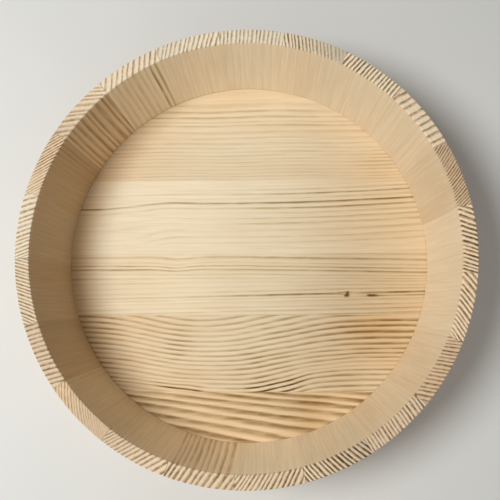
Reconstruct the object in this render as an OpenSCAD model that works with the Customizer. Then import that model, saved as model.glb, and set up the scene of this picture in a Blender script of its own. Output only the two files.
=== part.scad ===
// Sushi rice tub: a low round tub of tapered staves held by two copper hoops,
// with a base of five boards let into a groove in the staves.
// Origin: centre of the circle that the tub stands on. +Z up, base grain along X.

/* [Tub] */
// Diameter inside the rim
rim_inner_d = 360; // [310:5:420]
// Height from the ground to the rim
tub_h = 95; // [80:1:130]
// Wall thickness, measured level
wall_t = 12; // [10:0.5:18]
// Lean of the wall outwards, in degrees
wall_lean = 9; // [4:0.5:12]
// Bevel on the two edges of the rim
rim_ease = 0.8; // [0.3:0.1:2]
// Bevel on the two edges that the tub stands on
foot_ease = 1; // [0.3:0.1:2]

/* [Staves] */
// Number of staves
stave_count = 21; // [14:1:28]
// Angle of the first joint, counted from +X
first_joint_a = 10.8; // [0:0.1:12]

/* [Stave pegs] */
// Diameter of a peg between two staves
stave_peg_d = 3; // [2:0.5:4]
// Length of a peg between two staves
stave_peg_l = 16; // [10:1:24]
// Height of the lower row of pegs above the base
low_peg_rise = 18; // [8:1:22]
// Depth of the upper row of pegs below the rim
high_peg_drop = 19; // [8:1:28]

/* [Base] */
// Thickness of the base boards
base_t = 12; // [8:0.5:15]
// Height of the underside of the base above the ground
base_lift = 8; // [4:0.5:12]
// Width of the front board, at its widest
board_1_w = 48; // [40:1:56]
// Width of the second board
board_2_w = 70; // [60:1:75]
// Width of the third board
board_3_w = 58; // [50:1:64]
// Width of the fourth board
board_4_w = 72; // [62:1:78]
// Depth of the groove for the base, below the inside of the wall
croze_depth = 3; // [2:0.5:5]

/* [Base pegs] */
// Diameter of a peg between two base boards
base_peg_d = 4; // [3:0.5:6]
// Length of a peg between two base boards
base_peg_l = 24; // [16:1:30]
// Distance from the end of a joint to the outer peg
base_peg_inset = 25; // [15:1:40]

/* [Hoops] */
// Thickness of the copper band
hoop_t = 0.6; // [0.4:0.1:1.2]
// Width of the upper hoop
upper_hoop_w = 15; // [10:1:20]
// Width of the lower hoop
lower_hoop_w = 15; // [10:1:20]
// Depth of the middle of the upper hoop below the rim
upper_hoop_drop = 33; // [20:1:36]
// Height of the middle of the lower hoop above the ground
lower_hoop_z = 20; // [16:1:30]
// Length of the lap where a band closes
lap_l = 32; // [24:1:36]
// Amount trimmed off each edge of the band's end, so that it doesn't catch
lap_trim = 0.5; // [0.2:0.1:1.5]
// Stave that the laps are nailed to
lap_stave = 5; // [1:1:14]

/* [Hoop nails] */
// Shank diameter of a nail
nail_d = 1.6; // [1:0.1:2]
// Shank length under the head
nail_l = 5; // [4:0.5:6]
// Head diameter
nail_head_d = 4.4; // [3:0.1:6]
// Head height
nail_head_h = 0.9; // [0.5:0.1:1.5]
// Distance between the two nails of a lap
nail_gap = 18; // [10:1:20]

/* [Fits] */
// Play of a peg or a nail in its hole, all round
peg_fit = 0.1; // [0.05:0.05:0.2]
// Play past each end of a peg, and past the point of a nail
peg_end_fit = 0.5; // [0.2:0.1:1]
// Play between the edge of the base and the bottom of its groove
croze_fit = 0.2; // [0.1:0.05:0.4]
// Play between the top of the base and its groove
croze_rise = 0.1; // [0.05:0.05:0.2]
// Play between a hoop and the staves, and under a nail's head
hoop_fit = 0.05; // [0.02:0.01:0.2]

/* [Hidden] */
$fn = 120;
stave_wood = [0.85, 0.72, 0.54];
base_wood = [0.90, 0.79, 0.61];
bamboo = "khaki";
copper = "peru";

stave_a = 360 / stave_count;
function joint_a(j) = first_joint_a + (j - 1) * stave_a;

// Level radii of the leaning wall
wall_slope = tan(wall_lean);
function inner_r(z) = rim_inner_d / 2 - wall_slope * (tub_h - z);
function outer_r(z) = inner_r(z) + wall_t;
function middle_r(z) = inner_r(z) + wall_t / 2;
// Level size of a thickness measured square to the wall
function level(t) = t / cos(wall_lean);

base_top_z = base_lift + base_t;
croze_r = inner_r(base_top_z) + croze_depth;
base_r = croze_r - croze_fit;
board_w = [board_1_w, board_2_w, board_3_w, board_4_w];
board_count = len(board_w) + 1;
// Front edge of board k, and the back edge of the last one for k = board_count + 1
function board_y(k) = k > board_count ? base_r : k == 1 ? -base_r : board_y(k - 1) + board_w[k - 2];
function half_chord(y) = sqrt(pow(base_r, 2) - pow(y, 2));
function base_peg_x(k) = half_chord(abs(board_y(k)) + base_peg_l / 2) - base_peg_inset;

stave_peg_z = [base_top_z + low_peg_rise, tub_h - high_peg_drop];
upper_hoop_z = tub_h - upper_hoop_drop;
hoop_z = [upper_hoop_z, lower_hoop_z];
function lap_a(z) = lap_l / outer_r(z) * 180 / PI;
function nail_a(z) = nail_gap / outer_r(z) * 180 / PI;
lap_mid_a = joint_a(lap_stave + 0.5);

function stave_name(i) = str("stave_", i < 10 ? "0" : "", i);
function board_name(k) = str("base_board_", k);

// Section of the wall, with the groove for the base
module wall_section() {
    polygon([
        [inner_r(foot_ease), foot_ease],
        [inner_r(0) + foot_ease, 0],
        [outer_r(0) - foot_ease, 0],
        [outer_r(foot_ease), foot_ease],
        [outer_r(tub_h - rim_ease), tub_h - rim_ease],
        [outer_r(tub_h) - rim_ease, tub_h],
        [inner_r(tub_h) + rim_ease, tub_h],
        [inner_r(tub_h - rim_ease), tub_h - rim_ease],
        [inner_r(base_top_z + croze_rise), base_top_z + croze_rise],
        [croze_r, base_top_z + croze_rise],
        [croze_r, base_lift],
        [inner_r(base_lift), base_lift]
    ]);
}

// A round rod across the joint between two staves
module stave_peg(j, z, d, l) {
    rotate([0, 0, joint_a(j)])
        translate([middle_r(z), 0, z])
            rotate([90, 0, 0])
                cylinder(d = d, h = l, center = true);
}

// A round rod across the joint in front of base board k
module base_peg(k, x, d, l) {
    translate([x, board_y(k), base_lift + base_t / 2])
        rotate([90, 0, 0])
            cylinder(d = d, h = l, center = true);
}

// Places children on both nails of the lap at height z, with +Z square out of the wall
module at_nails(z) {
    for (side = [-1, 1])
        rotate([0, 0, lap_mid_a + side * nail_a(z) / 2])
            translate([outer_r(z), 0, z])
                rotate([0, 90 + wall_lean, 0])
                    children();
}

// Hole for a nail, through a hoop and into the stave behind it
module nail_hole() {
    depth = nail_l + peg_end_fit;
    translate([0, 0, -depth])
        cylinder(d = nail_d + 2 * peg_fit, h = depth + 4 * hoop_t);
}

module stave(i) {
    color(stave_wood)
        difference() {
            rotate([0, 0, joint_a(i)])
                rotate_extrude(angle = stave_a)
                    wall_section();
            for (j = [i, i + 1], z = stave_peg_z)
                stave_peg(j, z, stave_peg_d + 2 * peg_fit, stave_peg_l + 2 * peg_end_fit);
            if (i == lap_stave)
                for (z = hoop_z)
                    at_nails(z)
                        nail_hole();
        }
}

module stave_pegs() {
    color(bamboo)
        for (j = [1:stave_count], z = stave_peg_z)
            stave_peg(j, z, stave_peg_d, stave_peg_l);
}

module base_board(k) {
    color(base_wood)
        difference() {
            intersection() {
                translate([0, 0, base_lift])
                    cylinder(r = base_r, h = base_t);
                translate([-base_r, board_y(k), base_lift])
                    cube([2 * base_r, board_y(k + 1) - board_y(k), base_t]);
            }
            for (j = [max(k, 2):min(k + 1, board_count)], side = [-1, 0, 1])
                base_peg(j, side * base_peg_x(j), base_peg_d + 2 * peg_fit, base_peg_l + 2 * peg_end_fit);
        }
}

module base_pegs() {
    color(bamboo)
        for (j = [2:board_count], side = [-1, 0, 1])
            base_peg(j, side * base_peg_x(j), base_peg_d, base_peg_l);
}

// Section of a band round the wall, between two counts of copper layers off the staves
module band_section(z, w, from_layer, to_layer) {
    low = z - w / 2;
    high = z + w / 2;
    near = level(hoop_fit + from_layer * hoop_t);
    far = level(hoop_fit + to_layer * hoop_t);
    polygon([
        [outer_r(low) + near, low],
        [outer_r(low) + far, low],
        [outer_r(high) + far, high],
        [outer_r(high) + near, high]
    ]);
}

// A closed band, double where its trimmed end laps over, with holes for the nails
module hoop(z, w) {
    color(copper)
        difference() {
            union() {
                rotate([0, 0, lap_mid_a])
                    rotate_extrude()
                        band_section(z, w, 0, 1);
                rotate([0, 0, lap_mid_a - lap_a(z) / 2])
                    rotate_extrude(angle = lap_a(z))
                        band_section(z, w - 2 * lap_trim, 0.5, 2);
            }
            at_nails(z)
                nail_hole();
        }
}

module upper_hoop() {
    hoop(upper_hoop_z, upper_hoop_w);
}

module lower_hoop() {
    hoop(lower_hoop_z, lower_hoop_w);
}

module hoop_nails() {
    head_seat = 2 * hoop_t + 2 * hoop_fit;
    color(copper)
        for (z = hoop_z)
            at_nails(z) {
                translate([0, 0, -nail_l])
                    cylinder(d = nail_d, h = nail_l + head_seat + nail_head_h / 2);
                translate([0, 0, head_seat])
                    cylinder(d1 = nail_head_d, d2 = nail_head_d / 2, h = nail_head_h);
            }
}

for (i = [1:stave_count])
    stave(i);
for (k = [1:board_count])
    base_board(k);
stave_pegs();
base_pegs();
upper_hoop();
lower_hoop();
hoop_nails();
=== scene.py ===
import math
from collections import namedtuple

import bmesh
import bpy
import numpy as np
from mathutils import Matrix, Vector


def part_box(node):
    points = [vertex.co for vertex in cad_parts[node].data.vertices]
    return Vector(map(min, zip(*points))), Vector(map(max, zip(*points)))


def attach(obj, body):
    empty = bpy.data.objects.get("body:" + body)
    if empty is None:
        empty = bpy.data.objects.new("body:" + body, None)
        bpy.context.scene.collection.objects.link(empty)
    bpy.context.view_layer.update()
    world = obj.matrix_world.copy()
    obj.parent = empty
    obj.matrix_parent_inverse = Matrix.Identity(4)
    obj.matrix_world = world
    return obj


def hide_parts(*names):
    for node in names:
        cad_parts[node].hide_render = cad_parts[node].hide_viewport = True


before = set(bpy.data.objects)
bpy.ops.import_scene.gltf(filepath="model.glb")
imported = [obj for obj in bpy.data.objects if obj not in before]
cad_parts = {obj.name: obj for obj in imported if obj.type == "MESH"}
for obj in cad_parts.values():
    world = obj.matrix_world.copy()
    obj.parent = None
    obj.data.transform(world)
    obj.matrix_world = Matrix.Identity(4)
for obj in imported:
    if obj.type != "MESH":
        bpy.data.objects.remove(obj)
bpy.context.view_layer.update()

# Sizes are in millimetres, unless a comment says otherwise; MM turns them into the scene's metres
MM = 0.001

# The tub's wall and base, as in the solids
STAVE_COUNT = 21
STAVE_A = 2 * math.pi / STAVE_COUNT
FIRST_JOINT_A = math.radians(10.8)
LEAN = math.radians(9)
RIM_INNER_R = 180
WALL = 12
RIM_EASE = 0.8
FOOT_EASE = 1.0
CROZE_DEPTH = 3
CROZE_RISE = 0.1
TUB_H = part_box("stave_01")[1].z / MM
BASE_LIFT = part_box("base_board_3")[0].z / MM
BASE_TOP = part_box("base_board_3")[1].z / MM
BASE_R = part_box("base_board_3")[1].x / MM
# Width of a stave along the middle of the rim
STAVE_W = (RIM_INNER_R + WALL / 2) * STAVE_A

# Edges that the solids leave sharp are eased a little, joints by a bevel where faces turn past an angle
CROZE_EASE = 1.2
JOINT_EASE = 0.12
BOARD_EASE = 0.25
HOOP_EDGE = 0.2
BEVEL_CUTS = 2
BEVEL_PAST = math.radians(50)
# Faces that turn past this angle are shaded apart, and points nearer than a weld become one
SHARP_PAST = math.radians(40)
WELD = 0.002
BOARD_WELD = 0.01

# Copper bands, with the longest run between points across a band and the number of points along it;
# over the rise, a band steps out to lie on its own start
HOOP_T = 0.6
HOOP_FIT = 0.05
HOOP_STEP = 4
HOOP_POINTS = 420
LAP = 32
LAP_TRIM = 0.5
LAP_RISE = 9
LAP_FIT = 0.01
LAP_STAVE = 5
LAP_MID_A = FIRST_JOINT_A + (LAP_STAVE - 0.5) * STAVE_A

# Copper nails; the dome of a head stops narrowing at a share of its height
NAIL_SHANK_R = 0.8
NAIL_DEPTH = 5
NAIL_HEAD_R = 2.2
NAIL_HEAD_H = 0.9
NAIL_GAP = 18
NAIL_RINGS = 73
NAIL_SIDES = 28
NAIL_TOP = 0.995


def inner_r(z):
    """Radius of the inside of the wall at height z."""
    return RIM_INNER_R - math.tan(LEAN) * (TUB_H - z)


def outer_r(z):
    """Radius of the outside of the wall at height z."""
    return inner_r(z) + WALL


def smooth(low, high, value):
    """Goes from 0 to 1 as value goes from low to high, with soft ends."""
    share = np.clip((value - low) / (high - low), 0, 1)
    return share * share * (3 - 2 * share)


def hill(x, middle, spread):
    """A soft bump, 1 at the middle."""
    return np.exp(-((x - middle) / spread) ** 2)


def spot(x, y, middle, spread):
    """A soft bump over a round or oval spot, 1 at the middle."""
    return hill(x, middle[0], spread[0]) * hill(y, middle[1], spread[1])


def between(first, second, share):
    """Goes from first to second as share goes from 0 to 1."""
    return first + (second - first) * share


def colour(red, green, blue):
    """An everyday 0 to 255 colour as the linear RGBA that shaders take."""
    linear = []
    for value in (red, green, blue):
        share = value / 255
        linear.append(share / 12.92 if share < 0.04045 else ((share + 0.055) / 1.055) ** 2.4)
    return (*linear, 1)


# Node helpers, for shapes and for finishes


def add(tree, kind, inputs=None, **options):
    """Adds a node; each input is given a value or is linked to another node's socket."""
    node = tree.nodes.new(kind)
    for option, value in options.items():
        setattr(node, option, value)
    for key, value in (inputs or {}).items():
        socket = node.inputs[key]
        if isinstance(value, bpy.types.NodeSocket):
            tree.links.new(value, socket)
        else:
            socket.default_value = value
    return node


def calc(tree, operation, first, second=0.0, third=0.0):
    """One arithmetic step."""
    inputs = {0: first, 1: second, 2: third}
    return add(tree, "ShaderNodeMath", inputs, operation=operation).outputs[0]


def ramp(tree, value, low, high, start=0.0, end=1.0):
    """Goes softly from start to end as value goes from low to high."""
    inputs = {"Value": value, "From Min": low, "From Max": high, "To Min": start, "To Max": end}
    node = add(tree, "ShaderNodeMapRange", inputs, interpolation_type="SMOOTHSTEP")
    return node.outputs["Result"]


def shape_tree(name, sizes, counts=()):
    """A Geometry Nodes tree that takes a shape, its named sizes and counts, and a finish.

    Returns the tree, its input sockets and the identifiers of its inputs.
    """
    tree = bpy.data.node_groups.new(name, "GeometryNodeTree")
    tree.interface.new_socket("Shape", in_out="INPUT", socket_type="NodeSocketGeometry")
    tree.interface.new_socket("Shape", in_out="OUTPUT", socket_type="NodeSocketGeometry")
    kinds = dict.fromkeys(sizes, "NodeSocketFloat")
    kinds.update(dict.fromkeys(counts, "NodeSocketInt"))
    kinds["Finish"] = "NodeSocketMaterial"
    identifiers = {}
    for label, kind in kinds.items():
        socket = tree.interface.new_socket(label, in_out="INPUT", socket_type=kind)
        identifiers[label] = socket.identifier
    group_input = tree.nodes.new("NodeGroupInput")
    return tree, group_input.outputs, identifiers


def end_tree(tree, sources, shape):
    """Ends a tree in plain geometry that carries its finish."""
    real = add(tree, "GeometryNodeRealizeInstances", {"Geometry": shape}).outputs["Geometry"]
    inputs = {"Geometry": real, "Material": sources["Finish"]}
    finished = add(tree, "GeometryNodeSetMaterial", inputs).outputs["Geometry"]
    tree.links.new(finished, tree.nodes.new("NodeGroupOutput").inputs["Shape"])


def swept(tree, outline, points):
    """Sweeps a closed outline along a unit line, so that z becomes the share of the way along."""
    profile = add(tree, "GeometryNodeMeshToCurve", {"Mesh": outline}).outputs["Curve"]
    line = add(tree, "GeometryNodeCurvePrimitiveLine", {"Start": (0, 0, 0), "End": (0, 0, 1)})
    path = add(tree, "GeometryNodeResampleCurve", {"Curve": line.outputs["Curve"], "Count": points})
    inputs = {"Curve": path.outputs["Curve"], "Profile Curve": profile, "Fill Caps": True}
    return add(tree, "GeometryNodeCurveToMesh", inputs).outputs["Mesh"]


def position_parts(tree):
    """The three coordinates of a point."""
    position = tree.nodes.new("GeometryNodeInputPosition").outputs["Position"]
    return add(tree, "ShaderNodeSeparateXYZ", {0: position}).outputs


def moved(tree, mesh, x, y, z):
    """Puts every point at x, y, z."""
    place = add(tree, "ShaderNodeCombineXYZ", {0: x, 1: y, 2: z}).outputs[0]
    return add(tree, "GeometryNodeSetPosition", {"Geometry": mesh, "Position": place}).outputs["Geometry"]


def turned(tree, mesh, radius, angle, height):
    """Puts every point at a radius and an angle about the tub's axis."""
    x = calc(tree, "MULTIPLY", radius, calc(tree, "COSINE", angle))
    y = calc(tree, "MULTIPLY", radius, calc(tree, "SINE", angle))
    return moved(tree, mesh, x, y, height)


def stave_tree():
    """Bends the wall's section round the axis, over one stave's angle."""
    tree, sources, identifiers = shape_tree("stave sweep", ["First joint", "Angle"], ["Points"])
    mesh = swept(tree, sources["Shape"], sources["Points"])
    radius, height, along = position_parts(tree)
    angle = calc(tree, "MULTIPLY_ADD", along, sources["Angle"], sources["First joint"])
    end_tree(tree, sources, turned(tree, mesh, radius, angle, height))
    return tree, identifiers


def board_tree():
    """Sweeps a section from a board's front to its back, as wide at each place as the round base is."""
    sizes = ["Base radius", "Front", "Width", "Weld"]
    tree, sources, identifiers = shape_tree("board sweep", sizes, ["Points"])
    mesh = swept(tree, sources["Shape"], sources["Points"])
    across, height, along = position_parts(tree)
    y = calc(tree, "MULTIPLY_ADD", along, sources["Width"], sources["Front"])
    square = calc(tree, "MULTIPLY", sources["Base radius"], sources["Base radius"])
    left = calc(tree, "SUBTRACT", square, calc(tree, "MULTIPLY", y, y))
    half_chord = calc(tree, "SQRT", calc(tree, "MAXIMUM", left, 0.0))
    share = calc(tree, "DIVIDE", across, sources["Base radius"])
    mesh = moved(tree, mesh, calc(tree, "MULTIPLY", half_chord, share), y, height)
    inputs = {"Geometry": mesh, "Distance": sources["Weld"]}
    mesh = add(tree, "GeometryNodeMergeByDistance", inputs).outputs["Geometry"]
    end_tree(tree, sources, mesh)
    return tree, identifiers


def hoop_tree():
    """Wraps a strip once round the wall and over its own start, where it steps out and narrows a little."""
    sizes = ["Start", "Angle", "Step from", "Step to", "Step out", "Middle", "Narrower"]
    tree, sources, identifiers = shape_tree("hoop wrap", sizes, ["Points"])
    mesh = swept(tree, sources["Shape"], sources["Points"])
    radius, height, along = position_parts(tree)
    lapped = ramp(tree, along, sources["Step from"], sources["Step to"])
    radius = calc(tree, "MULTIPLY_ADD", lapped, sources["Step out"], radius)
    from_middle = calc(tree, "SUBTRACT", height, sources["Middle"])
    kept = calc(tree, "SUBTRACT", 1.0, calc(tree, "MULTIPLY", lapped, sources["Narrower"]))
    height = calc(tree, "MULTIPLY_ADD", from_middle, kept, sources["Middle"])
    angle = calc(tree, "MULTIPLY_ADD", along, sources["Angle"], sources["Start"])
    end_tree(tree, sources, turned(tree, mesh, radius, angle, height))
    return tree, identifiers


def nail_tree():
    """Drives a round nail with a domed head at every point, square to the wall."""
    sizes = ["Shank radius", "Depth", "Head radius", "Head height", "Head top"]
    tree, sources, identifiers = shape_tree("nails", sizes, ["Rings", "Sides"])
    foot = calc(tree, "MULTIPLY", sources["Depth"], -1.0)
    start = add(tree, "ShaderNodeCombineXYZ", {2: foot}).outputs[0]
    end = add(tree, "ShaderNodeCombineXYZ", {2: sources["Head height"]}).outputs[0]
    line = add(tree, "GeometryNodeCurvePrimitiveLine", {"Start": start, "End": end}).outputs["Curve"]
    inputs = {"Curve": line, "Count": sources["Rings"]}
    path = add(tree, "GeometryNodeResampleCurve", inputs).outputs["Curve"]
    height = position_parts(tree)[2]
    share = calc(tree, "DIVIDE", height, sources["Head height"])
    share = calc(tree, "MINIMUM", share, sources["Head top"])
    dome = calc(tree, "SQRT", calc(tree, "SUBTRACT", 1.0, calc(tree, "MULTIPLY", share, share)))
    head = calc(tree, "MULTIPLY", dome, sources["Head radius"])
    above = calc(tree, "GREATER_THAN", height, 0.0)
    wider = calc(tree, "SUBTRACT", head, sources["Shank radius"])
    radius = calc(tree, "MULTIPLY_ADD", above, wider, sources["Shank radius"])
    inputs = {"Resolution": sources["Sides"], "Radius": 1.0}
    ring = add(tree, "GeometryNodeCurvePrimitiveCircle", inputs).outputs["Curve"]
    inputs = {"Curve": path, "Profile Curve": ring, "Scale": radius, "Fill Caps": True}
    nail = add(tree, "GeometryNodeCurveToMesh", inputs).outputs["Mesh"]
    out = add(tree, "GeometryNodeInputNamedAttribute", {"Name": "out"}, data_type="FLOAT_VECTOR")
    turn = add(tree, "FunctionNodeAlignRotationToVector", {"Vector": out.outputs["Attribute"]}, axis="Z")
    inputs = {"Points": sources["Shape"], "Instance": nail, "Rotation": turn.outputs["Rotation"]}
    nails = add(tree, "GeometryNodeInstanceOnPoints", inputs).outputs["Instances"]
    end_tree(tree, sources, nails)
    return tree, identifiers


# Making plain meshes from outlines


def run_tree(name, tree, identifiers, shape, values, ease=0.0):
    """Runs a shape tree on a mesh and returns the result as a plain closed mesh object."""
    source = bpy.data.objects.new(name + "_outline", shape)
    bpy.context.scene.collection.objects.link(source)
    modifier = source.modifiers.new("shape", "NODES")
    modifier.node_group = tree
    for label, value in values.items():
        modifier[identifiers[label]] = value
    if ease:
        bevel = source.modifiers.new("ease", "BEVEL")
        bevel.width = ease * MM
        bevel.segments = BEVEL_CUTS
        bevel.limit_method = "ANGLE"
        bevel.angle_limit = BEVEL_PAST
    evaluated = source.evaluated_get(bpy.context.evaluated_depsgraph_get())
    mesh = bpy.data.meshes.new_from_object(evaluated)
    bpy.data.objects.remove(source)
    closed = bmesh.new()
    closed.from_mesh(mesh)
    bmesh.ops.remove_doubles(closed, verts=closed.verts, dist=WELD * MM)
    bmesh.ops.recalc_face_normals(closed, faces=closed.faces)
    closed.to_mesh(mesh)
    closed.free()
    mesh.shade_smooth()
    mesh.set_sharp_from_angle(angle=SHARP_PAST)
    mesh.name = name
    piece = bpy.data.objects.new(name, mesh)
    bpy.context.scene.collection.objects.link(piece)
    return piece


def eased_outline(corners, arc_steps=4):
    """A closed outline from (across, up, ease, step) corners, as a mesh in metres.

    A corner is rounded by its ease, and the run after it is cut into lengths of at most its step.
    """
    count = len(corners)
    points = []
    for index, (across, up, ease, step) in enumerate(corners):
        here = Vector((across, up))
        back = (Vector(corners[index - 1][:2]) - here).normalized()
        ahead = (Vector(corners[(index + 1) % count][:2]) - here).normalized()
        if ease:
            start, end = here + back * ease, here + ahead * ease
            for part in range(arc_steps + 1):
                share = part / arc_steps
                rest = 1 - share
                bent = rest**2 * start + 2 * share * rest * here + share**2 * end
                points.append((bent, None))
        else:
            points.append((here, None))
        points[-1] = (points[-1][0], step)
    outline = []
    for index, (point, step) in enumerate(points):
        outline.append(point)
        following = points[(index + 1) % len(points)][0]
        cuts = math.ceil((following - point).length / step) if step else 1
        outline.extend(point.lerp(following, cut / cuts) for cut in range(1, cuts))
    mesh = bpy.data.meshes.new("outline")
    edges = [(i, (i + 1) % len(outline)) for i in range(len(outline))]
    mesh.from_pydata([(p.x * MM, p.y * MM, 0) for p in outline], edges, [])
    return mesh


def mesh_points(mesh):
    """Every vertex of a mesh, in millimetres."""
    flat = np.empty(len(mesh.vertices) * 3)
    mesh.vertices.foreach_get("co", flat)
    return flat.reshape(-1, 3) / MM


def store(mesh, name, values):
    """Keeps one number or one vector per vertex for the finish to read."""
    values = np.asarray(values, np.float32)
    if values.ndim == 2:
        mesh.attributes.new(name, "FLOAT_VECTOR", "POINT").data.foreach_set("vector", values.ravel())
    else:
        mesh.attributes.new(name, "FLOAT", "POINT").data.foreach_set("value", values)


def store_grain(mesh, growth, fibre, **looks):
    """What the wood finish reads: the count of growth rings, the place in the board, and how rings show."""
    store(mesh, "growth", growth)
    store(mesh, "fibre", fibre)
    plain = np.zeros(len(mesh.vertices))
    for name, value in looks.items():
        store(mesh, name, plain + value)


# Finishes

# How often wood's unevenness changes per millimetre: across, through and along the grain
RING_WOBBLE = (0.15, 0.15, 0.015)
RING_FADE = (0.07, 0.07, 0.012)
RING_BREAKS = (0.3, 0.3, 0.05)
THIN_STREAKS = (1.3, 1.3, 0.03)
BROAD_STREAKS = (0.45, 0.45, 0.012)
COLOUR_DRIFT = (0.03, 0.03, 0.006)
# A line of late wood comes in slowly and ends quickly: shares of its width before and after its middle
LATE_RISE = 1.1
LATE_HOLD = 0.05
LATE_FALL = 0.55
# How often copper, bamboo and paper change per metre
COPPER_CLOUDS = (60, 60, 60)
COPPER_SPECKS = (700, 700, 900)
COPPER_RUBBING = (40, 40, 4000)
BAMBOO_MOTTLE = (900, 900, 900)
PAPER_CLOUDS = (9, 9, 9)
# Brightness of the backdrop, and how far from the tub the floor turns into it, in metres
BACKDROP = 0.72
BACKDROP_FROM = (0.45, 1.5)


def new_material(name):
    """A material and its principled shader."""
    material = bpy.data.materials.new(name)
    material.use_nodes = True
    return material, material.node_tree, material.node_tree.nodes["Principled BSDF"]


def attribute(tree, name, output="Fac"):
    """A value kept on the mesh."""
    return add(tree, "ShaderNodeAttribute", attribute_name=name).outputs[output]


def noise(tree, vector, scale, detail=2.0, roughness=0.5):
    """Soft noise, stretched by a scale for each direction."""
    stretched = add(tree, "ShaderNodeVectorMath", {0: vector, 1: scale}, operation="MULTIPLY").outputs[0]
    inputs = {"Vector": stretched, "Scale": 1.0, "Detail": detail, "Roughness": roughness}
    return add(tree, "ShaderNodeTexNoise", inputs).outputs["Fac"]


def blend(tree, share, first, second, blend_type="MIX"):
    """Mixes two colours."""
    inputs = {0: share, 6: first, 7: second}
    node = add(tree, "ShaderNodeMix", inputs, data_type="RGBA", blend_type=blend_type)
    return node.outputs[2]


def relief(tree, shader, height, strength, depth):
    """Lets a height between 0 and about 1 show as fine relief of a depth."""
    inputs = {"Strength": strength, "Distance": depth * MM, "Height": height}
    normal = add(tree, "ShaderNodeBump", inputs).outputs["Normal"]
    tree.links.new(normal, shader.inputs["Normal"])


def ray_kinds(tree):
    """Whether a ray comes from the camera, and whether metal or glass sent it on."""
    rays = add(tree, "ShaderNodeLightPath").outputs
    mirrored = calc(tree, "MAXIMUM", rays["Is Glossy Ray"], rays["Is Transmission Ray"])
    return rays["Is Camera Ray"], mirrored


def late_wood(tree, fibre):
    """How strongly late wood shows: one line in each ring, in some years clearer, that fades and breaks."""
    wobble = calc(tree, "SUBTRACT", noise(tree, fibre, RING_WOBBLE), 0.5)
    rings = calc(tree, "MULTIPLY_ADD", wobble, 0.3, calc(tree, "ADD", attribute(tree, "growth"), 0.5))
    through = calc(tree, "FRACT", rings)
    share = attribute(tree, "latewood")
    rise_from = calc(tree, "MULTIPLY_ADD", share, -LATE_RISE, 0.5)
    rise = ramp(tree, through, rise_from, 0.5)
    fall_from = calc(tree, "MULTIPLY_ADD", share, LATE_HOLD, 0.5)
    fall_to = calc(tree, "MULTIPLY_ADD", share, LATE_FALL, 0.5)
    fall = ramp(tree, through, fall_from, fall_to, 1.0, 0.0)
    year = calc(tree, "FLOOR", rings)
    luck = add(tree, "ShaderNodeTexWhiteNoise", {"W": year}, noise_dimensions="1D").outputs["Value"]
    chance = calc(tree, "MULTIPLY_ADD", luck, 0.4, 0.8)
    fade = ramp(tree, noise(tree, fibre, RING_FADE), 0.3, 0.7, 0.75, 1.2)
    breaks = ramp(tree, noise(tree, fibre, RING_BREAKS), 0.3, 0.7, 0.6, 1.35)
    strength = calc(tree, "MULTIPLY", chance, calc(tree, "MULTIPLY", fade, breaks))
    strength = calc(tree, "MULTIPLY", strength, attribute(tree, "contrast"))
    return calc(tree, "MULTIPLY", calc(tree, "MULTIPLY", rise, fall), strength)


def softwood(name, pale, warm, sawn, warm_sawn, tone):
    """Planed softwood: pale early wood, a browner line of late wood in each ring, streaks along the grain.

    The tone is what is left of the early wood's colour where a line shows at full strength.
    """
    material, tree, shader = new_material(name)
    fibre = attribute(tree, "fibre", "Vector")
    end_grain = attribute(tree, "end_grain")
    line = late_wood(tree, fibre)
    fine = noise(tree, fibre, THIN_STREAKS, detail=4.0, roughness=0.6)
    coarse = noise(tree, fibre, BROAD_STREAKS, detail=3.0)
    thin_streaks = ramp(tree, fine, 0.25, 0.75, -0.025, 0.025)
    broad_streaks = ramp(tree, coarse, 0.25, 0.75, -0.03, 0.03)
    streaks = calc(tree, "ADD", thin_streaks, broad_streaks)
    depth = calc(tree, "ADD", calc(tree, "ADD", line, streaks), attribute(tree, "knot"))
    left = add(tree, "ShaderNodeGamma", {"Color": (*tone, 1), "Gamma": depth}).outputs["Color"]
    drift = calc(tree, "SUBTRACT", noise(tree, fibre, COLOUR_DRIFT), 0.5)
    warmth = calc(tree, "MULTIPLY_ADD", drift, 0.5, attribute(tree, "hue"))
    planed = blend(tree, warmth, pale, warm)
    cut = blend(tree, warmth, sawn, warm_sawn)
    early = blend(tree, end_grain, planed, cut)
    # The stored brightness, and in places the stored warmth, hold painted light and shade as well as the
    # wood's own tone
    light = attribute(tree, "shade")
    grey = add(tree, "ShaderNodeCombineColor", {0: light, 1: light, 2: light}).outputs[0]
    grown = blend(tree, 1.0, early, left, "MULTIPLY")
    tree.links.new(blend(tree, 1.0, grown, grey, "MULTIPLY"), shader.inputs["Base Color"])
    rough = calc(tree, "MULTIPLY_ADD", fine, 0.2, 0.5)
    rough = calc(tree, "MULTIPLY_ADD", end_grain, 0.1, rough)
    tree.links.new(rough, shader.inputs["Roughness"])
    shader.inputs["Specular IOR Level"].default_value = 0.3
    height = calc(tree, "MULTIPLY_ADD", calc(tree, "MINIMUM", line, 1.0), 0.5, fine)
    relief(tree, shader, height, strength=0.25, depth=0.1)
    return material


def copper_finish(name, fresh, aged):
    """Rolled copper, rubbed along its length, that turns from fresh to aged in clouds."""
    material, tree, shader = new_material(name)
    place = add(tree, "ShaderNodeTexCoord").outputs["Object"]
    brown = ramp(tree, noise(tree, place, COPPER_CLOUDS, detail=4.0), 0.35, 0.75)
    metal = blend(tree, brown, fresh, aged)
    speck = noise(tree, place, COPPER_SPECKS, detail=3.0)
    metal = blend(tree, ramp(tree, speck, 0.6, 0.8, 0.0, 0.25), metal, colour(120, 74, 54))
    tree.links.new(metal, shader.inputs["Base Color"])
    shader.inputs["Metallic"].default_value = 1.0
    rubbed = noise(tree, place, COPPER_RUBBING, detail=3.0)
    rough = calc(tree, "MULTIPLY_ADD", brown, 0.22, calc(tree, "MULTIPLY_ADD", rubbed, 0.15, 0.2))
    tree.links.new(rough, shader.inputs["Roughness"])
    relief(tree, shader, rubbed, strength=0.2, depth=0.05)
    return material


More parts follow.
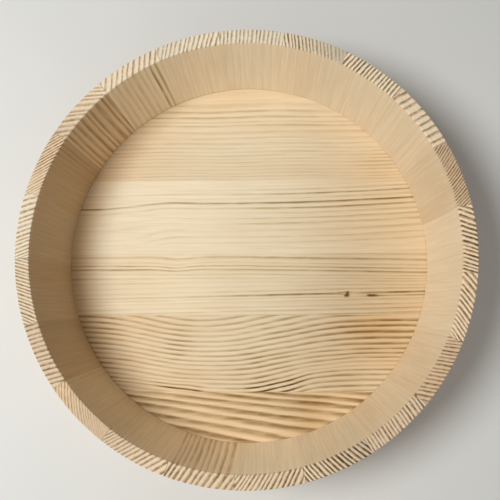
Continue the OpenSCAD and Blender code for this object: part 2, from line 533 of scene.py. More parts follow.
def bamboo_finish():
    """Split bamboo, mottled in two tones."""
    material, tree, shader = new_material("split_bamboo")
    place = add(tree, "ShaderNodeTexCoord").outputs["Object"]
    mottle = noise(tree, place, BAMBOO_MOTTLE, detail=3.0)
    skin = blend(tree, ramp(tree, mottle, 0.3, 0.7), colour(214, 188, 128), colour(176, 142, 84))
    tree.links.new(skin, shader.inputs["Base Color"])
    tree.links.new(ramp(tree, mottle, 0.2, 0.8, 0.4, 0.6), shader.inputs["Roughness"])
    relief(tree, shader, mottle, strength=0.3, depth=0.05)
    return material


def floor_finish():
    """Plain matt paper, faintly uneven, that turns into the backdrop far from the tub."""
    material, tree, shader = new_material("pale_paper")
    place = add(tree, "ShaderNodeTexCoord").outputs["Object"]
    cloud = noise(tree, place, PAPER_CLOUDS, detail=4.0)
    paper = blend(tree, cloud, colour(228, 228, 223), colour(233, 233, 228))
    tree.links.new(paper, shader.inputs["Base Color"])
    shader.inputs["Roughness"].default_value = 0.8
    shader.inputs["Specular IOR Level"].default_value = 0.1
    away = add(tree, "ShaderNodeVectorMath", {0: place}, operation="LENGTH").outputs["Value"]
    seen = calc(tree, "MAXIMUM", *ray_kinds(tree))
    far = calc(tree, "MULTIPLY", ramp(tree, away, *BACKDROP_FROM), seen)
    pale = add(tree, "ShaderNodeEmission", {"Strength": BACKDROP}).outputs["Emission"]
    inputs = {0: far, 1: shader.outputs["BSDF"], 2: pale}
    floor = add(tree, "ShaderNodeMixShader", inputs).outputs["Shader"]
    tree.links.new(floor, tree.nodes["Material Output"].inputs["Surface"])
    return material


# Steps that keep the rings and the unevenness of each piece of wood apart from the next one's
RINGS_APART = 100
STAVES_APART = 70
BOARDS_APART = 300

# Staves. For each one: slant of its rings on the rim at the first and the last joint, in degrees from
# square to the wall; place of its first ring along the wall, and width of a ring at the two joints;
# late wood's share of a ring; how strongly rings show on the rim at the two joints, then on the wall
# near the first joint and over the rest; warmth and brightness of the wall, then of the rim. Warmth and
# brightness are partly each stave's own tone and partly painted light and shade: walls on the shaded
# left are painted darker and warmer, walls that face the front and the back lighter, and the rim is
# painted darker on the left and lighter on the right
Stave = namedtuple(
    "Stave", "slant turn first ring last_ring late rim last_rim edge wall hue shade rim_hue rim_shade"
)
STAVES = [
    Stave(34, 34, 1.2, 2.2, 3.0, 0.45, 0.65, 0.58, 0.01, 0.01, 0.32, 0.95, 0.90, 0.84),
    Stave(-2, -15, 4.7, 5.6, 6.6, 0.36, 0.47, 0.47, 0.01, 0.01, 0.23, 0.98, 0.50, 1.06),
    Stave(4, -16, 2.1, 3.3, 3.5, 0.42, 0.85, 0.85, 0.01, 0.01, 0.23, 0.98, 0.35, 1.10),
    Stave(28, 18, 2.2, 3.4, 3.2, 0.42, 0.15, 0.82, 0.01, 0.01, 0.20, 1.00, 0.20, 0.90),
    Stave(0, -8, 3.2, 3.5, 3.5, 0.42, 0.40, 0.40, 0.02, 0.02, 0.14, 1.04, 0.00, 1.00),
    Stave(-22, -32, 1.4, 4.5, 3.8, 0.38, 0.55, 0.32, 0.02, 0.02, 0.16, 1.12, 0.08, 1.01),
    Stave(-27, -42, 1.3, 5.8, 5.4, 0.34, 0.46, 0.31, 0.40, 0.11, 0.32, 1.13, 0.37, 1.00),
    Stave(52, 40, 0.5, 4.9, 5.7, 0.45, 0.37, 0.37, 0.40, 0.32, 0.70, 1.02, 0.60, 0.91),
    Stave(62, 46, 1.5, 3.8, 3.8, 0.42, 0.95, 0.25, 0.12, 0.03, 0.85, 0.84, 0.75, 0.89),
    Stave(32, 20, 0.3, 5.3, 2.9, 0.40, 0.30, 0.60, 0.02, 0.02, 0.72, 0.84, 0.25, 0.94),
    Stave(-17, -42, 2.3, 2.9, 3.2, 0.42, 0.64, 0.57, 0.02, 0.02, 0.70, 0.81, 0.40, 0.90),
    Stave(-2, -22, 1.0, 3.7, 4.3, 0.40, 0.50, 0.50, 0.02, 0.02, 0.78, 0.80, 0.70, 0.82),
    Stave(55, 55, 2.0, 3.7, 3.7, 0.42, 0.50, 0.05, 0.02, 0.02, 0.50, 0.97, 0.95, 0.84),
    Stave(-28, -40, 2.4, 3.0, 5.3, 0.40, 0.49, 0.49, 0.03, 0.03, 0.42, 1.06, 0.72, 0.92),
    Stave(-14, -38, 1.2, 4.2, 5.9, 0.45, 0.67, 0.67, 0.21, 0.21, 0.32, 1.20, 0.68, 0.98),
    Stave(-36, -38, 0.3, 3.8, 4.4, 0.42, 0.51, 1.00, 0.01, 0.01, 0.04, 1.16, 0.64, 1.00),
    Stave(27, 24, 3.8, 3.3, 4.2, 0.45, 1.20, 1.20, 0.02, 0.02, 0.16, 1.03, 0.47, 0.95),
    Stave(0, -14, 1.8, 2.9, 3.6, 0.42, 0.70, 0.70, 0.02, 0.02, 0.27, 1.04, 0.60, 0.98),
    Stave(30, 17, 0.8, 3.8, 3.0, 0.42, 0.60, 0.55, 0.01, 0.01, 0.30, 1.03, 1.00, 0.92),
    Stave(-35, -44, 2.2, 3.7, 5.0, 0.42, 0.76, 0.76, 0.01, 0.01, 0.22, 1.06, 0.68, 1.20),
    Stave(-12, -31, 1.0, 3.1, 4.6, 0.45, 1.02, 1.02, 0.01, 0.01, 0.20, 1.05, 0.62, 1.16),
]
# Places of the rings of a stave that grew unevenly
UNEVEN_RINGS = {8: [-9, -4, 1, 6, 11, 15, 21, 29, 34, 40, 46.5, 53, 59.5, 65, 70]}
# How far rings lean aside at the foot of the wall
LEANING_RINGS = {7: 2.5}
# All rings wander aside in slow waves up the wall, and lean aside by less than one in RING_LEAN.
# They come early or late in two beats, each given by its size in rings and its waves to a ring
RING_WANDER = 0.4
WANDER_L = 23
RING_LEAN = 30
SLOW_BEAT = (0.08, 0.23)
QUICK_BEAT = (0.05, 0.41)
THINNEST_RING = 0.5
# Stretch of the wall, from the first joint, where rings show as the edge value says, and its soft ends
EDGE_RINGS = (3, 13)
EDGE_FADE = 1
# Late wood's share of a ring on the wall
WALL_LATE = 0.45
# How much brighter some staves are at the last joint than at the first: on the wall, and on the rim
SHADE_DRIFT = {
    1: (0, -0.1), 4: (0.13, 0.34), 6: (0, -0.15), 8: (0, -0.2), 9: (0.08, 0), 12: (0.14, 0.05),
    13: (0.03, -0.18), 14: (0.22, 0.22), 15: (0.22, 0), 17: (-0.08, -0.27),
}
# Painted light: the inside is painted brighter from a little under the rim down to the base, where light
# bounces up off the base, and stave 8 is given a larger step. A stave is as bright as listed where this
# share of the change is done
FOOT_PAINTED_LIGHT = {8: 0.16}
USUAL_FOOT_PAINTED_LIGHT = 0.05
LISTED_SHADE = 0.4
UNDER_RIM = 10
# Outside, the staves are more alike, as most of the painted light and shade in the inside's warmth and
# brightness is left off there, and their rings show a little; from one share of the wall's thickness to
# another, the inside's look gives way to the outside's
OUTSIDE_HUE = 0.5
OUTSIDE_SHADE = 1.0
OUTSIDE_SHARE = 0.6
OUTSIDE_RINGS = 0.08
OUTSIDE_FROM = (0.3, 0.7)
# Depth that the softer early wood has worn down on the rim. It sets in between two distances under the
# rim, and beside a line of late wood between two shares of its width
RIM_WEAR = 0.14
WEAR_UNDER = (2.5, 0.5)
WEAR_BESIDE = (0.2, 0.6)
# Distances from the rim and the foot over which end grain sets in
END_GRAIN = (1.2, 0.3)
# Points round a stave, and the longest run between points across the rim, down the inside, across the
# foot, and on the outside and in the groove
STAVE_POINTS = 113
RIM_STEP = 0.8
WALL_STEP = 2.5
FOOT_STEP = 2 * RIM_STEP
OUTSIDE_STEP = 4


def wall_outline():
    """Section of the wall, with the groove for the base."""
    groove_top = BASE_TOP + CROZE_RISE
    groove_r = inner_r(BASE_TOP) + CROZE_DEPTH
    return eased_outline([
        (inner_r(0), 0, FOOT_EASE, FOOT_STEP),
        (outer_r(0), 0, FOOT_EASE, OUTSIDE_STEP),
        (outer_r(TUB_H), TUB_H, RIM_EASE, RIM_STEP),
        (inner_r(TUB_H), TUB_H, RIM_EASE, WALL_STEP),
        (inner_r(groove_top), groove_top, CROZE_EASE, OUTSIDE_STEP),
        (groove_r, groove_top, 0, OUTSIDE_STEP),
        (groove_r, BASE_LIFT, 0, OUTSIDE_STEP),
        (inner_r(BASE_LIFT), BASE_LIFT, CROZE_EASE, OUTSIDE_STEP),
    ])


def ring_count(place, lines):
    """How many growth lines lie before a place, where each line's own place is given."""
    return np.interp(place, lines, np.arange(len(lines)))


def stave_rings(number, along):
    """Ring count along the wall, where ring width goes steadily from one joint's to the other's."""
    if number in UNEVEN_RINGS:
        return ring_count(along, UNEVEN_RINGS[number])
    kind = STAVES[number - 1]
    if kind.last_ring == kind.ring:
        return (along - kind.first) / kind.ring
    widening = (kind.last_ring - kind.ring) / STAVE_W
    width = np.maximum(kind.ring + widening * along, THINNEST_RING)
    first_width = kind.ring + widening * kind.first
    return np.log(width / first_width) / widening


def beat(rings, size, rate, start):
    """How early or late a ring comes."""
    return size * np.sin(2 * np.pi * (rate * rings + start))


def stave_grain(number, points):
    """Ring count, place in the stave, end-grain share and share of the way across, for every point."""
    kind = STAVES[number - 1]
    middle = FIRST_JOINT_A + (number - 0.5) * STAVE_A
    angle = np.arctan2(points[:, 1], points[:, 0]) - middle
    angle = (angle + np.pi) % (2 * np.pi) - np.pi
    radius = np.hypot(points[:, 0], points[:, 1])
    height = points[:, 2]
    depth = radius * np.cos(angle) - inner_r(height)
    side = radius * np.sin(angle)
    across = np.clip(0.5 + angle / STAVE_A, 0, 1)
    slant = np.radians(between(kind.slant, kind.turn, across)) + angle
    first, second, third = np.random.default_rng(number).random(3)
    wave = RING_WANDER * np.sin(height / WANDER_L + 2 * np.pi * third)
    wave += (third - 0.5) * (height - TUB_H) / RING_LEAN
    wave += LEANING_RINGS.get(number, 0) * smooth(TUB_H, 0, height)
    rings = stave_rings(number, STAVE_W / 2 + side + wave - (depth - WALL / 2) * np.tan(slant))
    uneven = beat(rings, *SLOW_BEAT, first) + beat(rings, *QUICK_BEAT, second)
    growth = RINGS_APART * number + rings + uneven
    fibre = np.stack([side + STAVES_APART * number, depth, height], 1)
    end_grain = smooth(*END_GRAIN, np.minimum(height, TUB_H - height))
    return growth, fibre, end_grain, across


def wear_rim(mesh, points, growth, late):
    """Sinks the softer early wood of the rim between its lines of late wood."""
    from_line = np.abs((growth + 0.5) % 1 - 0.5)
    early = smooth(*WEAR_BESIDE, from_line / late)
    sink = RIM_WEAR * early * smooth(*WEAR_UNDER, TUB_H - points[:, 2])
    normals = np.empty(len(mesh.vertices) * 3)
    mesh.vertices.foreach_get("normal", normals)
    worn = points - sink[:, None] * normals.reshape(-1, 3)
    mesh.vertices.foreach_set("co", (worn * MM).ravel())
    mesh.update()


def stave_looks(number, fibre, end_grain, across):
    """How strongly rings show, late wood's share, and warmth and brightness with their painted light and
    shade, for every point.
    """
    kind = STAVES[number - 1]
    depth, height = fibre[:, 1], fibre[:, 2]
    along = across * STAVE_W
    first, last = EDGE_RINGS
    at_edge = smooth(first - EDGE_FADE, first + EDGE_FADE, along)
    at_edge = at_edge * smooth(last + EDGE_FADE, last - EDGE_FADE, along)
    outside = smooth(*OUTSIDE_FROM, depth / WALL)
    wall = between(kind.wall, kind.edge, at_edge)
    wall = wall + np.maximum(OUTSIDE_RINGS - wall, 0) * outside
    rim = between(kind.rim, kind.last_rim, across)
    hue = between(kind.hue, OUTSIDE_HUE, OUTSIDE_SHARE * outside)
    wall_drift, rim_drift = SHADE_DRIFT.get(number, (0, 0))
    lower = smooth(TUB_H - UNDER_RIM, BASE_TOP, height) - LISTED_SHADE
    shade = kind.shade + wall_drift * (across - 0.5)
    # Painted light, brighter towards the base
    shade = shade + FOOT_PAINTED_LIGHT.get(number, USUAL_FOOT_PAINTED_LIGHT) * lower
    shade = between(shade, OUTSIDE_SHADE, OUTSIDE_SHARE * outside)
    rim_shade = kind.rim_shade + rim_drift * (across - 0.5)
    return {
        "contrast": between(wall, rim, end_grain),
        "latewood": between(WALL_LATE, kind.late, end_grain),
        "hue": between(hue, kind.rim_hue, end_grain),
        "shade": between(shade, rim_shade, end_grain),
    }


def make_stave(number, tree, identifiers, wood):
    """One stave, with its rings, and its rim worn between them."""
    values = {
        "First joint": FIRST_JOINT_A + (number - 1) * STAVE_A,
        "Angle": STAVE_A,
        "Points": STAVE_POINTS,
        "Finish": wood,
    }
    name = f"stave_{number:02d}_wood"
    piece = run_tree(name, tree, identifiers, wall_outline(), values, JOINT_EASE)
    mesh = piece.data
    points = mesh_points(mesh)
    growth, fibre, end_grain, across = stave_grain(number, points)
    wear_rim(mesh, points, growth, STAVES[number - 1].late)
    looks = stave_looks(number, fibre, end_grain, across)
    store_grain(mesh, growth, fibre, **looks, end_grain=end_grain, knot=0)
    return piece


# Base boards, from the front to the back. Each one lists the places of its growth lines from front to
# back, and bends, strengthens and fades them over parts of the board
Grain = namedtuple("Grain", "growth contrast latewood knot warmth", defaults=(0, 0))


def front_board(x, y):
    """Wide soft bands that fan and fall to the right."""
    fall, spread, top = 0.085, 0.0024, -122
    lift = smooth(20, 80, x)
    line = (y - lift + x * (fall + spread * top)) / (1 + spread * x)
    lines = [-185, -176, -167, -158, -148.3, -140.7, -133.5, -127.2, -122.2, -117]
    strong = 0.5 - 0.4 * smooth(-15, -45, x) * hill(line, -127.5, 3)
    strong += 0.15 * smooth(-40, -80, x) * smooth(-136, -140, line)
    strong -= 0.25 * smooth(-65, -85, x) * hill(line, -134, 3)
    return Grain(ring_count(line, lines), strong, 0.5, warmth=0.25 * hill(x, 58, 20))


def second_board(x, y):
    """Close lines that sink in one long trough, and end in dark streaks along the front edge."""
    middle, depth_left, depth_right = -38, 12.6, 17.8
    away = np.abs(x - middle)
    left = depth_left * (1 - np.exp(-(away / 68) ** 2.5))
    right = depth_right * (1 - np.exp(-(away / 86) ** 2.5))
    rise = np.where(x < middle, left, right)
    steeper = np.where(x < middle, 0.005, 0.0075)
    climb = 3.2 * smooth(35, 65, x) * smooth(0, -20, y + 92 - 10 * smooth(60, 105, x))
    climb += 2.4 * smooth(-30, -60, x) * smooth(-109, -119, y)
    sag = 1.4 * smooth(15, 45, x) * hill(y, -80, 16)
    level = y - 0.075 * (y + 86) * hill(x, 8, 30) + sag - climb
    line = level - rise * (1 + steeper * (level - rise + 95))
    lines = [-140, -136, -132, -128, -123.5, -119.5, -115.8, -111.8, -107.6, -103.4, -99.2, -95.4,
             -90.9, -86.4, -81.9, -77.9, -72.9, -68.2, -63.2, -57.9, -53, -48]
    # Here the tree grew towards the front, so the count falls
    growth = len(lines) - ring_count(line, lines)
    strong = 0.19 + 0.20 * smooth(-105, -135, x) + 0.30 * spot(x, y, (-62, -76), (14, 14))
    strong += 0.25 * spot(x, y, (5, -98), (22, 22)) + 0.14 * smooth(0, 40, x)
    strong += 0.30 * smooth(60, 105, x) * hill(y, -66, 16)
    strong *= 1 - 0.9 * smooth(28, 52, x) * hill(line, -113.8, 3)
    left_streak = smooth(-90, -72, x) * smooth(-36, -48, x) * hill(y + 0.12 * (x + 55), -121, 2.5)
    right_streaks = smooth(-6, 10, x) * smooth(58, 36, x) * hill(y - 0.08 * (x - 24), -119, 5.5)
    strong += 1.2 * left_streak + 1.9 * right_streaks
    late = 0.42 - 0.1 * np.maximum(left_streak, right_streaks)
    warmth = 0.4 * spot(x, y, (115, -62), (28, 14)) - 0.2 * smooth(95, 115, x) * smooth(-95, -115, y)
    warmth += 0.2 * spot(x, y, (-55, -112), (25, 12)) + 0.15 * left_streak
    return Grain(growth, strong, late, warmth=warmth)


def third_board(x, y):
    """Plain wood with a few thin dark lines, and one pin knot that the lines bend round."""
    knot_x, knot_y, knot_r = 93.3, -33.6, 1.9
    drift = np.where(x > 0, -0.02 * x, 0) * smooth(-30, -12, y) + 0.022 * x * smooth(-12, -30, y)
    dip = -2 * hill(x, -68, 14) * smooth(-16, -8, y)
    round_knot = np.sign(y - knot_y) * spot(x, y, (knot_x, knot_y), (6, 4))
    line = y - drift - dip - round_knot
    lines = [-60, -53, -48.8, -45, -40, -37.3, -34.3, -30, -25.5, -21, -17.5, -14, -9.5, -6, -3, 2.3, 8]
    shows = [0.05, 0.1, 0.15, 0.07, 0.07, 0.1, 0.3, 0.05, 0.05, 0.06, 0.08, 0.06, 0.34, 0.18, 0.05,
             0.36, 0.05]
    strong = np.interp(line, lines, shows) + 0.06 * smooth(20, 100, x)
    strong *= 1 - 0.6 * smooth(-20, -80, x) * hill(line, -34.3, 2)
    strong *= 1 - 0.5 * hill(x, -35, 35) * hill(line, -9.5, 2)
    strong *= 1 - 0.5 * smooth(40, -20, x) * hill(line, 2.3, 2)
    strong += 0.1 * smooth(-85, -125, x) * (hill(line, -9.5, 1.5) + hill(line, -6, 1.5))
    strong += 0.45 * smooth(-30, 60, x) * hill(line, -34.3, 1.5)
    strong += 0.3 * smooth(104, 114, x) * hill(line, -37.3, 1.5)
    strong += 0.1 * smooth(-100, -140, x) * hill(line, -17.5, 2)
    across, up = x - knot_x, y - knot_y
    lopsided = 1 + 0.2 * np.cos(np.arctan2(up, across - 0.3 * up) * 3 + np.pi / 2)
    knot = smooth(1.3, 0.6, np.hypot(across - 0.3 * up, 0.75 * up) / (knot_r * lopsided))
    streak = smooth(0.25, 0.85, hill(x, 115, np.where(x < 115, 4, 9)) * hill(y, -34.4, 1.1))
    mark = np.maximum(knot, streak)
    strong *= (1 - mark) * (1 - 0.85 * spot(x, y, (knot_x + 7, knot_y), (5, 3)))
    return Grain(ring_count(line, lines), strong, 0.4 + 0.2 * hill(line, -34.3, 2), knot=1.25 * mark)


def fourth_board(x, y):
    """The palest board, with three lines that climb to the right."""
    climb = np.where(x > 0, 0.0002 * x * x, 0)
    step = 0.8 * hill(x, -75, 20) - 5.2 * smooth(-70, -150, x)
    line = y - climb - step * (1 - 0.8 * smooth(56, 62, y))
    line += 5 * smooth(-62, -108, x) * hill(y, 20, 8)
    lines = [4, 10, 16, 21.5, 28, 34.5, 39.5, 44.3, 49.3, 54.5, 58.8, 63, 67.5, 71, 74.5, 78]
    shows = [0.04, 0.04, 0.16, 0.09, 0.1, 0.14, 0.16, 0.08, 0.45, 0.6, 0.06, 0.5, 0.07, 0.06, 0.05, 0.05]
    strong = np.interp(line, lines, shows)
    strong *= 1 - smooth(40, -40, x) * (0.82 - 0.37 * hill(line, 54.5, 3))
    strong *= 1 - 0.6 * hill(x, -113, 17) * hill(line, 54.5, 3)
    strong += 0.08 * spot(x, y, (-72, 24), (27, 7))
    strong += 0.3 * smooth(-138, -146, x) * hill(line, 54.5, 2)
    return Grain(ring_count(line, lines), strong, 0.38)


def back_board(x, y):
    """Fine even lines, with three clearer ones near the back."""
    line = y + 0.5 * np.sin(x / 19 + y / 40)
    lines = [74, 78, 81, 84, 87.5, 91, 95, 98, 101.5, 105, 109, 113.5, 119, 125, 132, 135,
             140, 146, 152, 165, 178]
    shows = [0.05, 0.05, 0.06, 0.06, 0.06, 0.07, 0.08, 0.06, 0.08, 0.09, 0.07, 0.08, 0.08, 0.09, 0.16, 0.08,
             0.25, 0.16, 0.09, 0.03, 0.03]
    strong = np.interp(line, lines, shows) * (1 - 0.6 * smooth(45, 75, x) * smooth(134, 140, line))
    at_corner = spot(x, y, (127, 86), (22, 13))
    strong += 0.12 * at_corner
    warmth = 0.2 * smooth(140, 156, line) * hill(x, -10, 55) + 0.1 * at_corner
    return Grain(ring_count(line, lines), strong, 0.42, warmth=warmth)


# Grain, warmth and brightness of each board; how much warmer its left and right ends are, partly its
# own tone and partly painted warm light bounced off the wall; and how much painted light falls on it
# left of the middle and painted shade right of it, where the lamp's light falls off
Board = namedtuple("Board", "grain hue shade left_hue right_hue left_pale right_dark")
BOARDS = [
    Board(front_board, 0.44, 1.04, 0.00, 0.10, 0.02, 0.13),
    Board(second_board, 0.24, 0.98, 0.18, 0.34, 0.05, 0.09),
    Board(third_board, 0.14, 0.98, 0.08, 0.33, 0.09, 0.14),
    Board(fourth_board, 0.04, 1.00, 0.03, 0.36, 0.05, 0.07),
    Board(back_board, 0.16, 0.97, 0.25, 0.20, 0.00, 0.06),
]
# Where the warmer ends set in; the middle and spread of the painted light, and those of the painted
# shade as shares of half a board's length
LEFT_END = (-40, -120)
RIGHT_END = (30, 140)
PAINTED_LIGHT_AT = (-70, 55)
PAINTED_SHADE_AT = (0.57, 0.3)
# Painted warm light, bounced off the shaded wall, beside the wall on the left: how far from the edge of
# the base, and from where on the left, it sets in; its middle and spread from front to back; and how
# much lighter it makes the wood
WALL_BOUNCE = 0.45
BOUNCE_FROM = (32, 12)
BOUNCE_LEFT = (0, -60)
BOUNCE_AT = (20, 75)
BOUNCE_LIGHTER = 0.1
# How far lines shift with each millimetre under the top
GRAIN_TILT = 0.3
# The longest run between points on the top and elsewhere
TOP_STEP = 1.0
UNDER_STEP = 5


def board_looks(number, x, y, half_l):
    """Warmth and brightness of a board at every point, with its painted light, painted shade and painted
    warm bounced light, without what its own grain adds.
    """
    kind = BOARDS[number - 1]
    # Painted warm light bounced off the shaded left wall, beside it
    bounce = WALL_BOUNCE * smooth(*BOUNCE_FROM, BASE_R - np.hypot(x, y))
    bounce = bounce * smooth(*BOUNCE_LEFT, x) * hill(y, *BOUNCE_AT)
    warmer = kind.left_hue * smooth(*LEFT_END, x) + kind.right_hue * smooth(*RIGHT_END, x)
    # Painted light left of the middle and beside the left wall, painted shade right of the middle
    painted_light = kind.left_pale * hill(x, *PAINTED_LIGHT_AT) + BOUNCE_LIGHTER * bounce
    painted_shade = kind.right_dark * hill(x / half_l, *PAINTED_SHADE_AT)
    return kind.hue + warmer + bounce, kind.shade + painted_light - painted_shade


def make_board(number, tree, identifiers, wood):
    """One board of the base, cut to the round."""
    node = f"base_board_{number}"
    low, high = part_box(node)
    front, back = low.y / MM, high.y / MM
    outline = eased_outline([
        (-BASE_R, BASE_LIFT, BOARD_EASE, UNDER_STEP),
        (BASE_R, BASE_LIFT, BOARD_EASE, UNDER_STEP),
        (BASE_R, BASE_TOP, BOARD_EASE, TOP_STEP),
        (-BASE_R, BASE_TOP, BOARD_EASE, UNDER_STEP),
    ], arc_steps=2)
    values = {
        "Base radius": BASE_R * MM,
        "Front": low.y,
        "Width": high.y - low.y,
        "Points": math.ceil((back - front) / TOP_STEP) + 1,
        "Weld": BOARD_WELD * MM,
        "Finish": wood,
    }
    piece = run_tree(node + "_wood", tree, identifiers, outline, values, JOINT_EASE)
    mesh = piece.data
    x, y, z = mesh_points(mesh).T
    grain = BOARDS[number - 1].grain(x, y + GRAIN_TILT * (BASE_TOP - z))
    half_l = math.sqrt(BASE_R**2 - ((front + back) / 2) ** 2)
    hue, shade = board_looks(number, x, y, half_l)
    fibre = np.stack([y + BOARDS_APART * number, z, x], 1)
    store_grain(
        mesh, grain.growth + RINGS_APART * number, fibre,
        contrast=grain.contrast,
        latewood=grain.latewood,
        hue=hue + grain.warmth,
        shade=shade,
        end_grain=0,
        knot=grain.knot,
    )
    return piece


# Hoops and nails


def make_hoop(node, tree, identifiers, copper):
    """One copper band, closed by a nailed lap."""
    low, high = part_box(node)
    bottom, top = low.z / MM, high.z / MM
    near = HOOP_FIT / math.cos(LEAN)
    far = (HOOP_FIT + HOOP_T) / math.cos(LEAN)
    outline = eased_outline([
        (outer_r(bottom) + near, bottom, HOOP_EDGE, HOOP_STEP),
        (outer_r(bottom) + far, bottom, HOOP_EDGE, HOOP_STEP),
        (outer_r(top) + far, top, HOOP_EDGE, HOOP_STEP),
        (outer_r(top) + near, top, HOOP_EDGE, HOOP_STEP),
    ], arc_steps=3)
    middle = (bottom + top) / 2
    lap_a = LAP / outer_r(middle)
    rise_a = LAP_RISE / outer_r(middle)
    whole = 2 * math.pi + lap_a
    values = {
        "Start": LAP_MID_A - lap_a / 2,
        "Angle": whole,
        "Points": HOOP_POINTS,
        "Step from": (2 * math.pi - rise_a) / whole,
        "Step to": 2 * math.pi / whole,
        "Step out": (HOOP_T + LAP_FIT) / math.cos(LEAN) * MM,
        "Middle": middle * MM,
        "Narrower": 2 * LAP_TRIM / (top - bottom),
        "Finish": copper,
    }
    return run_tree(node + "_copper", tree, identifiers, outline, values)


def make_nails(tree, identifiers, copper):
    """Two nails through the lap of each hoop."""
    seat = 2 * HOOP_T + 2 * HOOP_FIT
    places, outwards = [], []
    for node in ("upper_hoop", "lower_hoop"):
        low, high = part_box(node)
        z = (low.z + high.z) / 2 / MM
        for side in (-1, 1):
            angle = LAP_MID_A + side * NAIL_GAP / 2 / outer_r(z)
            flat = Vector((math.cos(angle), math.sin(angle), 0))
            out = flat * math.cos(LEAN) - Vector((0, 0, math.sin(LEAN)))
            places.append((flat * outer_r(z) + Vector((0, 0, z)) + out * seat) * MM)
            outwards.append(out)
    points = bpy.data.meshes.new("nail_places")
    points.from_pydata(places, [], [])
    store(points, "out", np.array(outwards))
    values = {
        "Shank radius": NAIL_SHANK_R * MM,
        "Depth": (NAIL_DEPTH + seat) * MM,
        "Head radius": NAIL_HEAD_R * MM,
        "Head height": NAIL_HEAD_H * MM,
        "Head top": NAIL_TOP,
        "Rings": NAIL_RINGS,
        "Sides": NAIL_SIDES,
        "Finish": copper,
    }
    return run_tree("hoop_nails_copper", tree, identifiers, points, values)


# The photograph's view: focal length in pixels of a 500 pixel frame, distance from the rim's plane,
# two turns and a shift, fitted to the ellipses of the rim and the base
IMAGE_SIZE = 500
FOCAL_PX = 610
RIM_DISTANCE = 504
PITCH = math.radians(-7.59)
YAW = math.radians(-2.33)
SHIFT = Vector((-5.6, 1.1, 0))
SENSOR = 36
NEAREST_SEEN = 10

# One soft lamp high on the left, and what it points at, in metres and watts
LAMP_SIZE = 0.56
LAMP_POWER = 13.7
LAMP_PLACE = (-0.675, -0.05, 1.22)
LAMP_AIM = (0, 0, 0.05)
# Light from the front and the back of the room, how much of it moves from the back to the front,
# and how bright the room is in metal
ROOM_LIGHT = 0.58
FRONT_LIGHT = 0.18
MIRRORED_LIGHT = 0.9

# Half the width of the floor, in metres
FLOOR_HALF = 2.5


def place_camera():
    """The camera above the tub, turned and shifted as it was for the photograph."""
    camera = bpy.data.cameras.new("camera")
    camera.sensor_width = SENSOR
    camera.lens = SENSOR * FOCAL_PX / IMAGE_SIZE
    camera.clip_start = NEAREST_SEEN * MM
    turn = Matrix.Rotation(PITCH, 3, "X") @ Matrix.Rotation(YAW, 3, "Y")
    back = turn.transposed()
    place = back @ (Vector((0, 0, RIM_DISTANCE)) - SHIFT) + Vector((0, 0, TUB_H))
    seen = bpy.data.objects.new("camera", camera)
    seen.matrix_world = Matrix.Translation(place * MM) @ back.to_4x4()
    bpy.context.scene.collection.objects.link(seen)
    bpy.context.scene.camera = seen


def place_lamp():
    """The soft lamp."""
    lamp = bpy.data.lights.new("soft_key", "AREA")
    lamp.shape = "DISK"
    lamp.size = LAMP_SIZE
    lamp.energy = LAMP_POWER
    key = bpy.data.objects.new("soft_key", lamp)
    key.location = LAMP_PLACE
    aim = Vector(LAMP_AIM) - key.location
    key.rotation_euler = aim.to_track_quat("-Z", "Y").to_euler()
    bpy.context.scene.collection.objects.link(key)


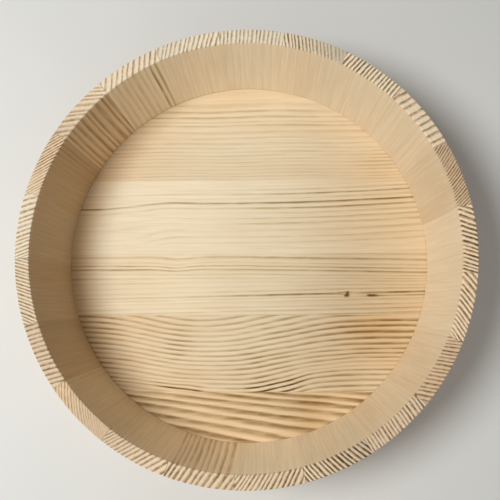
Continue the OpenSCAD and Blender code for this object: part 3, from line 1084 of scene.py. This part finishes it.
def light_room():
    """A room that is lit from the front and the back, seen as a plain pale backdrop."""
    world = bpy.data.worlds.new("room")
    world.use_nodes = True
    bpy.context.scene.world = world
    tree = world.node_tree
    way = add(tree, "ShaderNodeTexCoord").outputs["Generated"]
    to_back = add(tree, "ShaderNodeSeparateXYZ", {0: way}).outputs["Y"]
    strength = calc(tree, "MULTIPLY", calc(tree, "ABSOLUTE", to_back), ROOM_LIGHT)
    strength = calc(tree, "MULTIPLY_ADD", to_back, -FRONT_LIGHT, strength)
    from_camera, mirrored = ray_kinds(tree)
    strength = calc(tree, "MAXIMUM", strength, calc(tree, "MULTIPLY", mirrored, MIRRORED_LIGHT))
    inputs = {0: from_camera, 2: strength, 3: BACKDROP}
    strength = add(tree, "ShaderNodeMix", inputs, data_type="FLOAT").outputs[0]
    background = tree.nodes["Background"]
    background.inputs["Color"].default_value = (1, 1, 1, 1)
    tree.links.new(strength, background.inputs["Strength"])


def place_floor():
    """A wide sheet of paper under the tub."""
    sides = ((-1, -1), (1, -1), (1, 1), (-1, 1))
    mesh = bpy.data.meshes.new("floor")
    mesh.from_pydata([(x * FLOOR_HALF, y * FLOOR_HALF, 0) for x, y in sides], [], [(0, 1, 2, 3)])
    mesh.materials.append(floor_finish())
    floor = bpy.data.objects.new("floor", mesh)
    bpy.context.scene.collection.objects.link(floor)


def hand_over(piece, node):
    """The piece stands for its solid."""
    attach(piece, "root")
    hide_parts(node)


def build():
    """Every piece in place of its solid, apart from the pegs, which keep theirs."""
    sawn, warm_sawn = colour(240, 226, 200), colour(238, 206, 168)
    stave_wood = softwood(
        "stave_wood", colour(233, 217, 187), colour(211, 175, 130), sawn, warm_sawn, (0.2, 0.15, 0.09)
    )
    base_wood = softwood(
        "base_wood", colour(241, 225, 193), colour(226, 183, 127), sawn, warm_sawn, (0.25, 0.178, 0.085)
    )
    hoop_copper = copper_finish("hoop_copper", colour(214, 140, 100), colour(186, 114, 80))
    nail_copper = copper_finish("nail_copper", colour(240, 182, 142), colour(224, 160, 120))
    bamboo = bamboo_finish()
    bend = stave_tree()
    for number in range(1, STAVE_COUNT + 1):
        hand_over(make_stave(number, *bend, stave_wood), f"stave_{number:02d}")
    stretch = board_tree()
    for number in range(1, len(BOARDS) + 1):
        hand_over(make_board(number, *stretch, base_wood), f"base_board_{number}")
    wrap = hoop_tree()
    for node in ("upper_hoop", "lower_hoop"):
        hand_over(make_hoop(node, *wrap, hoop_copper), node)
    hand_over(make_nails(*nail_tree(), nail_copper), "hoop_nails")
    for node in ("stave_pegs", "base_pegs"):
        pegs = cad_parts[node]
        pegs.data.materials.clear()
        pegs.data.materials.append(bamboo)


bpy.context.scene.view_settings.view_transform = "Standard"
build()
place_floor()
place_lamp()
light_room()
place_camera()
